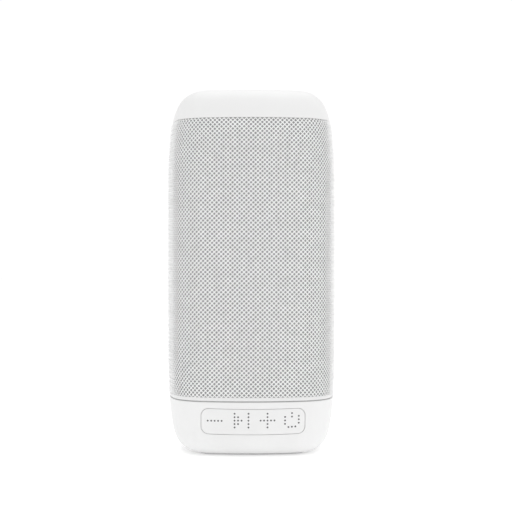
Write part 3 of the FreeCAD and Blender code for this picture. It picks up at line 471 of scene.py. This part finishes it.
def make_stage():
    """A plain white floor that glows a little, like a light table."""
    size = 8.0
    nodes = Nodes("light_table")
    nodes.set("Roughness", 0.9)
    nodes.set("Specular IOR Level", 0.1)
    nodes.colours(nodes.noise(scale=40.0), (0.93, 0.93, 0.93), (0.95, 0.95, 0.95))
    nodes.set("Emission Color", (1, 1, 1, 1))
    nodes.set("Emission Strength", 0.26)
    corners = [(-1, -1), (1, -1), (1, 1), (-1, 1)]
    mesh = bpy.data.meshes.new("floor")
    mesh.from_pydata([(x * size / 2, y * size / 2, 0) for x, y in corners], [], [(0, 1, 2, 3)])
    mesh.materials.append(nodes.material)
    floor = bpy.data.objects.new("floor", mesh)
    bpy.context.scene.collection.objects.link(floor)


def area_light(name, place, target, size, power):
    data = bpy.data.lights.new(name, "AREA")
    data.shape = "RECTANGLE"
    data.size, data.size_y = size
    data.energy = power
    data.spread = math.radians(180)
    light = bpy.data.objects.new(name, data)
    light.location = place
    light.rotation_euler = (Vector(target) - Vector(place)).to_track_quat("-Z", "Y").to_euler()
    bpy.context.scene.collection.objects.link(light)


# The room's light: its level, how it falls towards the sides, and its slant to the right
# and up. The white band round the horizon: its level, and its fall with height.
ROOM_LEVEL = 0.74
SIDE_FALL = -0.12
ROOM_SLANT = (0.1, 0.02, 0.1)
BAND_LEVEL = 1.03
BAND_START = 1.85
BAND_FALL = -4.0


def make_light():
    """A studio that is white along the horizon, and dimmer above it and at the sides."""
    world = bpy.data.worlds.new("studio")
    world.use_nodes = True
    tree = world.node_tree
    background = tree.nodes["Background"]
    background.inputs["Color"].default_value = (1, 1, 1, 1)
    direction = tree.nodes.new("ShaderNodeTexCoord").outputs["Generated"]

    def along(axis):
        node = tree.nodes.new("ShaderNodeVectorMath")
        node.operation = "DOT_PRODUCT"
        node.inputs[1].default_value = axis
        tree.links.new(direction, node.inputs[0])
        return node.outputs["Value"]

    def combine(operation, *values):
        node = tree.nodes.new("ShaderNodeMath")
        node.operation = operation
        for value, socket in zip(values, node.inputs):
            if isinstance(value, float):
                socket.default_value = value
            else:
                tree.links.new(value, socket)
        return node.outputs["Value"]

    across = along((1, 0, 0))
    sides = combine("MULTIPLY", across, across)
    fall = combine("MULTIPLY_ADD", sides, SIDE_FALL, ROOM_LEVEL)
    room = combine("ADD", fall, along(ROOM_SLANT))
    height = combine("ABSOLUTE", along((0, 0, 1)))
    band = combine("MULTIPLY_ADD", height, BAND_FALL, BAND_START)
    level = combine("MAXIMUM", room, combine("MINIMUM", band, BAND_LEVEL))
    tree.links.new(level, background.inputs["Strength"])
    bpy.context.scene.world = world
    bpy.context.scene.view_settings.view_transform = "Standard"
    aim = (0, 0, FULL_HEIGHT / 2)
    area_light("top_softbox", (0, 0.1, 0.9), aim, (0.9, 0.9), 3.1)


# ---------------------------------------------------------------- shells

def make_cap():
    """The cap: bottom edge slightly rounded, two tangent arcs, a flat top."""
    edge = 0.25 * MM
    soft = 0.07 * MM
    top_inset = 13 * MM
    ceiling_inset = 11 * MM
    ceiling = FULL_HEIGHT - 1.6 * MM
    bend_inset = 6.2 * MM
    side, lean = run(CAP_INSET, CAP_LOW, CAP_LEAN, CAP_SIDE_RADIUS, CAP_BEND - CAP_LOW, 14)
    crown, _ = run(*side[-1], lean, CAP_EDGE_RADIUS, FULL_HEIGHT - CAP_BEND, 22)
    outer = [(CAP_INSET + SKIRT, CAP_LOW), (CAP_INSET + edge, CAP_LOW),
             (CAP_INSET + soft, CAP_LOW + soft), (CAP_INSET, CAP_LOW + edge)]
    outer += [point for point in side + crown if point[1] > CAP_LOW + edge * 1.2]
    top = [(top_inset, FULL_HEIGHT), *flat_rings(top_inset, FULL_HEIGHT, outward=False)]
    inside = [*flat_rings(ceiling_inset, ceiling, outward=True), (ceiling_inset, ceiling),
              (bend_inset, CAP_BEND), (CAP_INSET + SKIRT, CAP_LOW + 1 * MM)]
    cap = loft("cap_shell", inside + outer + top, closed=False, sharp_angle=40)
    return finish_piece(cap, "cap_plastic", node="top_cap")


def make_base():
    """The base: rounded top edge, flank, heel and toe arcs, flat floor, window and ports."""
    edge = 0.14 * MM
    soft = 0.04 * MM
    flank, lean = run(LOW_INSET, SEAM_LOW, FLANK_LEAN, FLANK_RADIUS, FLANK_FOOT - SEAM_LOW, 22)
    heel, lean = run(*flank[-1], lean, HEEL_RADIUS, TOE_HEIGHT - FLANK_FOOT, 10)
    toe, _ = run(*heel[-1], lean, TOE_RADIUS, SHELL_BOTTOM - TOE_HEIGHT, 16)
    outer = [(LOW_INSET + WALL, SEAM_LOW), (LOW_INSET + edge, SEAM_LOW),
             (LOW_INSET + soft, SEAM_LOW - soft), (LOW_INSET, SEAM_LOW - edge)]
    outer += [point for point in flank + heel + toe if point[1] < SEAM_LOW - edge * 1.2]
    under = [(FOOT_INSET, SHELL_BOTTOM), *flat_rings(FOOT_INSET, SHELL_BOTTOM, outward=False)]
    floor_top = SHELL_BOTTOM + WALL
    floor_inset = 9 * MM
    toe_inset = 5.6 * MM
    heel_inset = 3.6 * MM
    inner = [*flat_rings(10 * MM, floor_top, outward=True), (floor_inset, floor_top),
             (toe_inset, TOE_HEIGHT), (heel_inset, FLANK_FOOT)]
    base = loft("base_cup", inner + outer + under, closed=False)
    cut_away(base, [window_cutter(), usb_cutter(), jack_cutter()])
    return finish_piece(base, "base_plastic", node="base_shell")


# From where to where, along Y, the openings in the base are cut.
FRONT_CUT = (-40 * MM, -15 * MM)
REAR_CUT = (15 * MM, 40 * MM)


def window_cutter():
    return prism("window", panel_outline(PANEL_GAP), *FRONT_CUT)


def usb_cutter():
    slack = 0.3 * MM
    low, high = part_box("usb_c_socket")
    outline = rounded_outline(low[0] - slack, high[0] + slack, low[2] - slack, high[2] + slack,
                              1.6 * MM)
    return prism("usb", outline, *REAR_CUT)


def jack_cutter():
    radius = 3.2 * MM
    low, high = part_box("aux_jack")
    middle = (low[0] + high[0]) / 2
    level = high[2] - 2.9 * MM
    outline = rounded_outline(middle - radius, middle + radius, level - radius, level + radius,
                              radius * 0.999)
    return prism("jack", outline, *REAR_CUT)


def make_rim():
    """The plain rim under the sleeve, its two edges slightly rounded."""
    edge = 0.12 * MM
    soft = 0.035 * MM
    low = LOW_INSET
    high = LOW_INSET - 0.1 * MM
    rim = loft("rim_band", [
        (low + edge, SEAM_HIGH), (low + soft, SEAM_HIGH + soft), (low, SEAM_HIGH + edge),
        (high, SLEEVE_LOW - edge), (high + soft, SLEEVE_LOW - soft), (high + edge, SLEEVE_LOW),
        (low + SKIRT, SLEEVE_LOW), (low + SKIRT, SEAM_HIGH)], closed=True)
    return finish_piece(rim, "trim_plastic", node="trim_rim")


def make_gasket():
    """The dark strip between base and rim, a little way in."""
    deep = LOW_INSET + 0.3 * MM
    soft = 0.05 * MM
    edge = 0.1 * MM
    width = 2 * MM
    gasket = loft("seam_strip", [
        (deep + soft, SEAM_LOW), (deep, SEAM_LOW + edge), (deep, SEAM_HIGH - edge),
        (deep + soft, SEAM_HIGH), (deep + width, SEAM_HIGH), (deep + width, SEAM_LOW)],
        closed=True)
    return finish_piece(gasket, "dark_seal", node="seam_gasket")


def make_foot():
    """The foot pad: a thin rubber plate with a rounded lower edge."""
    edge = 0.3 * MM
    soft = 0.09 * MM
    rings = [*flat_rings(FOOT_INSET, SHELL_BOTTOM, outward=True), (FOOT_INSET, SHELL_BOTTOM),
             (FOOT_INSET, FOOT_LOW + edge), (FOOT_INSET + soft, FOOT_LOW + soft),
             (FOOT_INSET + edge, FOOT_LOW),
             *flat_rings(FOOT_INSET + edge, FOOT_LOW, outward=False)]
    foot = loft("foot_plate", rings, closed=False)
    return finish_piece(foot, "foot_rubber", node="foot_pad")


# ---------------------------------------------------------------- woven sleeve

# Threads that wind each way, and how far a thread climbs as it moves on by one pitch. A
# thread is flat: it rises and sinks by the lift at each crossing, and it wanders a little
# along the sleeve, so that the weave isn't quite even.
THREADS = 128
ROW_HEIGHT = 1.585 * MM
THREAD_HALF_WIDTH = 0.21 * MM
THREAD_HALF_DEPTH = 0.11 * MM
WEAVE_LIFT = 0.09 * MM
STAND_PROUD = 0.1 * MM
WANDER = 0.035 * MM
LINING_THICKNESS = 0.25 * MM
SIDES = 6
STEPS_PER_ROW = 4
THREADS_PER_PIECE = 32


def weave_group(name, lean, first):
    """Some of the threads that wind one way round the sleeve, each over and under in turn."""
    pitch = PERIMETER / THREADS
    rows = (SLEEVE_TOP - SLEEVE_LOW) / ROW_HEIGHT
    steps = int(rows * STEPS_PER_ROW)
    climb = np.linspace(0, rows, steps + 1)[None, :]
    index = np.arange(first, first + THREADS_PER_PIECE)[:, None]
    drift = WANDER * np.sin(index * 2.399 + climb * 0.31) * np.sin(climb * 0.9 + index)
    along = (index + lean * climb) * pitch + drift
    height = SLEEVE_LOW + climb * ROW_HEIGHT + 0 * index
    flat, normal = plan(along)
    reach = 0.2 * MM
    tilt = (sleeve_inset(height + reach) - sleeve_inset(height - reach)) / (2 * reach)
    outward = np.concatenate([normal, tilt[..., None]], axis=-1)
    outward /= np.linalg.norm(outward, axis=-1, keepdims=True)
    base = np.concatenate([flat - normal * sleeve_inset(height)[..., None],
                           height[..., None]], axis=-1)
    tangent = np.gradient(base, axis=1)
    tangent /= np.linalg.norm(tangent, axis=-1, keepdims=True)
    across = np.cross(outward, tangent)
    sunk = WEAVE_LIFT + THREAD_HALF_DEPTH - STAND_PROUD
    lift = lean * WEAVE_LIFT * np.cos(2 * math.pi * climb) - sunk
    centre = base + outward * lift[..., None]
    angles = np.arange(SIDES) / SIDES * 2 * math.pi
    rings = (centre[:, :, None, :]
             + outward[:, :, None, :] * THREAD_HALF_DEPTH * np.sin(angles)[:, None]
             + across[:, :, None, :] * THREAD_HALF_WIDTH * np.cos(angles)[:, None])
    vertices = rings.reshape(-1, 3)
    faces = []
    length = steps + 1
    for thread in range(THREADS_PER_PIECE):
        start = thread * length * SIDES
        for step in range(steps):
            a = start + step * SIDES
            for side in range(SIDES):
                b = (side + 1) % SIDES
                faces.append((a + side, a + b, a + SIDES + b, a + SIDES + side))
        faces.append(tuple(start + side for side in range(SIDES))[::-1])
        faces.append(tuple(start + steps * SIDES + side for side in range(SIDES)))
    return new_mesh(name, vertices, faces)


def make_sleeve():
    """The sleeve: a thin lining, and the woven threads that stand on it."""
    deep = 2 * (WEAVE_LIFT + THREAD_HALF_DEPTH) - STAND_PROUD + 0.02 * MM
    heights = np.linspace(SLEEVE_LOW, SLEEVE_TOP, 60)
    outer = [(sleeve_inset(height) + deep, height) for height in heights]
    inner = [(inset + LINING_THICKNESS, height) for inset, height in outer[::-1]]
    lining = loft("sleeve_lining", outer + inner, closed=True)
    finish_piece(lining, "mesh_fabric", node="grille_fabric")
    lining.data.materials[0] = thread_material("sleeve_lining_cloth", (0.37, 0.37, 0.37))
    for lean, way in ((1, "rising"), (-1, "falling")):
        for first in range(0, THREADS, THREADS_PER_PIECE):
            name = f"weave_{way}_{first // THREADS_PER_PIECE + 1}"
            finish_piece(weave_group(name, lean, first), "mesh_fabric")


# ---------------------------------------------------------------- keypad

SYMBOL_HEIGHT = 13.3 * MM
DOT_PITCH = 1.23 * MM
DOT_RADIUS = 0.32 * MM
DOT_RECESS = 0.06 * MM
COLUMN_GAP = 0.4 * MM
ROW_GAP = 0.45 * MM
# How far to the right of its middle a key with lines between keys on both sides is split, clear
# of its dots.
SPLIT_ASIDE = 0.6 * MM
# Places across, in millimetres.
KEY_EDGES = {"minus": (-18.44, -8.9), "play": (-8.9, 0.45), "plus": (0.45, 9.4),
             "power": (9.4, 18.44)}
KEY_MIDDLES = {"minus": -13.65, "play": -4.15, "plus": 5.05, "power": 13.75}
# The dots of each symbol are (across, up) in pitches from the symbol's middle.
SYMBOLS = {
    "minus": [(across, -0.12) for across in range(-2, 3)],
    "play": ([(-2, up) for up in range(-2, 3)] + [(-1, up) for up in range(-1, 2)]
             + [(0, 0)] + [(2, up) for up in range(-2, 3)]),
    "plus": [(across, 0) for across in range(-2, 3)] + [(0, up) for up in (-2, -1, 1, 2)],
    "power": ([(0, 2.05), (0, 1.03)] + [(-2, up - 0.12) for up in (1.08, 0.07, -0.94)]
              + [(2, up + 0.12) for up in (1.08, 0.07, -0.94)]
              + [(across, -1.94 + 0.06 * across) for across in (-1, 0, 1)]),
}


def base_inset(height):
    """The flank's inset at a height: an arc that leans in downwards."""
    turn = math.asin(math.sin(FLANK_LEAN) + (SEAM_LOW - height) / FLANK_RADIUS)
    return LOW_INSET + FLANK_RADIUS * (math.cos(FLANK_LEAN) - math.cos(turn))


def front_surface(across, height, depth=0.0):
    """The point of the front surface at (across, height), or that far inside it."""
    inset = base_inset(height) + depth
    face = FACE_RADIUS - inset
    corner = CORNER_RADIUS - inset
    face_swing = ARCS[0][4]
    corner_middle = abs(ARCS[1][0])
    if abs(across) <= face * math.sin(face_swing):
        front = FACE_RADIUS - HALF_WIDTH - math.sqrt(face ** 2 - across ** 2)
    else:
        front = -corner_middle - math.sqrt(corner ** 2 - (abs(across) - corner_middle) ** 2)
    return (across, front, height)


def outline_distance(across, height):
    """Distance inside the keypad's rounded outline."""
    left, right, low, high = PANEL
    dx = abs(across - (left + right) / 2) - (right - left) / 2 + PANEL_CORNER
    dz = abs(height - (low + high) / 2) - (high - low) / 2 + PANEL_CORNER
    outside = math.hypot(max(dx, 0), max(dz, 0))
    return PANEL_CORNER - outside - min(max(dx, dz), 0)


def edge_depth(across, height):
    """How far the keypad's rounded edge falls away at a point."""
    distance = max(outline_distance(across, height), 0)
    if distance >= PANEL_EDGE:
        return 0.0
    return PANEL_EDGE - math.sqrt(PANEL_EDGE ** 2 - (PANEL_EDGE - distance) ** 2)


def steps_between(low, high, close_low, close_high, gap):
    """Places from low to high, close together near an end that has a rounded edge."""
    near = [0, 0.015 * MM, 0.05 * MM, 0.11 * MM, 0.22 * MM]
    start = near if close_low else [0]
    end = near if close_high else [0]
    first, last = low + start[-1], high - end[-1]
    count = max(1, round((last - first) / gap))
    middle = [first + (last - first) * i / count for i in range(1, count)]
    return ([low + step for step in start] + middle + [high - step for step in end[::-1]])


def key_skin(name, left, right):
    """One stretch of the keypad's skin between two places across."""
    panel_left, panel_right, low, high = PANEL
    columns = steps_between(left, right, left == panel_left, right == panel_right, COLUMN_GAP)
    middle = (low + high) / 2
    vertices = []
    for across in columns:
        short = PANEL_CORNER - min(across - panel_left, panel_right - across)
        trim = 0.0
        if short > 0:
            trim = PANEL_CORNER - math.sqrt(max(PANEL_CORNER ** 2 - short ** 2, 0))
        half = (high - low) / 2 - trim
        rows = steps_between(-half, half, True, True, ROW_GAP)
        # Every column has as many rows as the first.
        if across == columns[0]:
            count = len(rows)
        rows = np.interp(np.linspace(0, 1, count), np.linspace(0, 1, len(rows)), rows)
        for row in rows:
            height = middle + row
            vertices.append(front_surface(across, height - bow(across),
                                          edge_depth(across, height)))
    top = len(vertices)
    vertices += [front_surface(x, z, SKIN) for x, _, z in vertices]
    faces = []
    for i in range(len(columns) - 1):
        for j in range(count - 1):
            a = i * count + j
            face = (a, a + count, a + count + 1, a + 1)
            faces.append(face)
            faces.append(tuple(top + k for k in face[::-1]))
    rim = [i * count for i in range(len(columns))]
    rim += [(len(columns) - 1) * count + j for j in range(1, count)]
    rim += [i * count + count - 1 for i in range(len(columns) - 2, -1, -1)]
    rim += [j for j in range(count - 2, 0, -1)]
    for a, b in zip(rim, rim[1:] + rim[:1]):
        faces.append((a, top + a, top + b, b))
    return new_mesh(name, vertices, faces, sharp_angle=50)


def dot_places(key):
    middle = KEY_MIDDLES[key] * MM
    return [(middle + across * DOT_PITCH, SYMBOL_HEIGHT + up * DOT_PITCH)
            for across, up in SYMBOLS[key]]


def circle_outline(across, height, radius, steps=20):
    return [(across + radius * math.cos(2 * math.pi * i / steps),
             height + radius * math.sin(2 * math.pi * i / steps)) for i in range(steps)]


def dot_wells(key, left, right):
    """Cutters for the dots between two places across."""
    reach = 0.5 * MM
    vertices, faces = [], []
    for across, height in dot_places(key):
        if left < across < right:
            outline = circle_outline(across, height, DOT_RADIUS)
            count = len(outline)
            start = len(vertices)
            for depth in (-reach, reach):
                vertices += [front_surface(x, z, depth) for x, z in outline]
            faces.append(tuple(start + i for i in range(count)))
            faces.append(tuple(start + count + i for i in range(count))[::-1])
            for i in range(count):
                j = (i + 1) % count
                faces.append((start + i, start + count + i, start + count + j, start + j))
    return new_mesh(f"{key}_wells", vertices, faces)


def dot_group(key):
    """The filled dots of one symbol: shallow domes that stand a little under the skin."""
    vertices, faces = [], []
    # Each level of a dome: its share of the dot's radius and its depth.
    levels = [(1.0, DOT_RECESS + 0.3 * MM), (1.0, DOT_RECESS + 0.03 * MM),
              (0.8, DOT_RECESS + 0.01 * MM), (0.4, DOT_RECESS)]
    for across, height in dot_places(key):
        start = len(vertices)
        for scale, depth in levels:
            outline = circle_outline(across, height, DOT_RADIUS * scale)
            vertices += [front_surface(x, z, depth) for x, z in outline]
        count = len(outline)
        for level in range(len(levels) - 1):
            a = start + level * count
            for i in range(count):
                j = (i + 1) % count
                faces.append((a + i, a + j, a + count + j, a + count + i))
        faces.append(tuple(start + i for i in range(count))[::-1])
        faces.append(tuple(start + (len(levels) - 1) * count + i for i in range(count)))
    return new_mesh(f"{key}_dots", vertices, faces, sharp_angle=50)


def make_keypad():
    """One continuous skin over four keys, in stretches that stay in place; a key with keys on
    both sides is split a little to the right of its middle. Each key's dots ride on its body."""
    panel_left, panel_right, _, _ = PANEL

    for key, edges in KEY_EDGES.items():
        body = f"{key}_button"
        left, right = edges[0] * MM, edges[1] * MM
        if left > panel_left and right < panel_right:
            split = KEY_MIDDLES[key] * MM + SPLIT_ASIDE
            stretches = [("left", left, split), ("right", split, right)]
        else:
            stretches = [("all", left, right)]
        for side, start, end in stretches:
            skin = key_skin(f"{key}_skin_{side}", start, end)
            cut_away(skin, [dot_wells(key, start, end)], sharp_angle=50)
            finish_piece(skin, "key_silicone", body=None, node=f"key_{key}")
            if panel_left < start == left:
                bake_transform(skin)
            if panel_right > end == right:
                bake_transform(skin)
        finish_piece(dot_group(key), "dot_grey", body=body, node=f"dots_{key}")


make_camera()
make_stage()
make_light()
make_cap()
make_base()
make_rim()
make_gasket()
make_foot()
make_sleeve()
make_keypad()
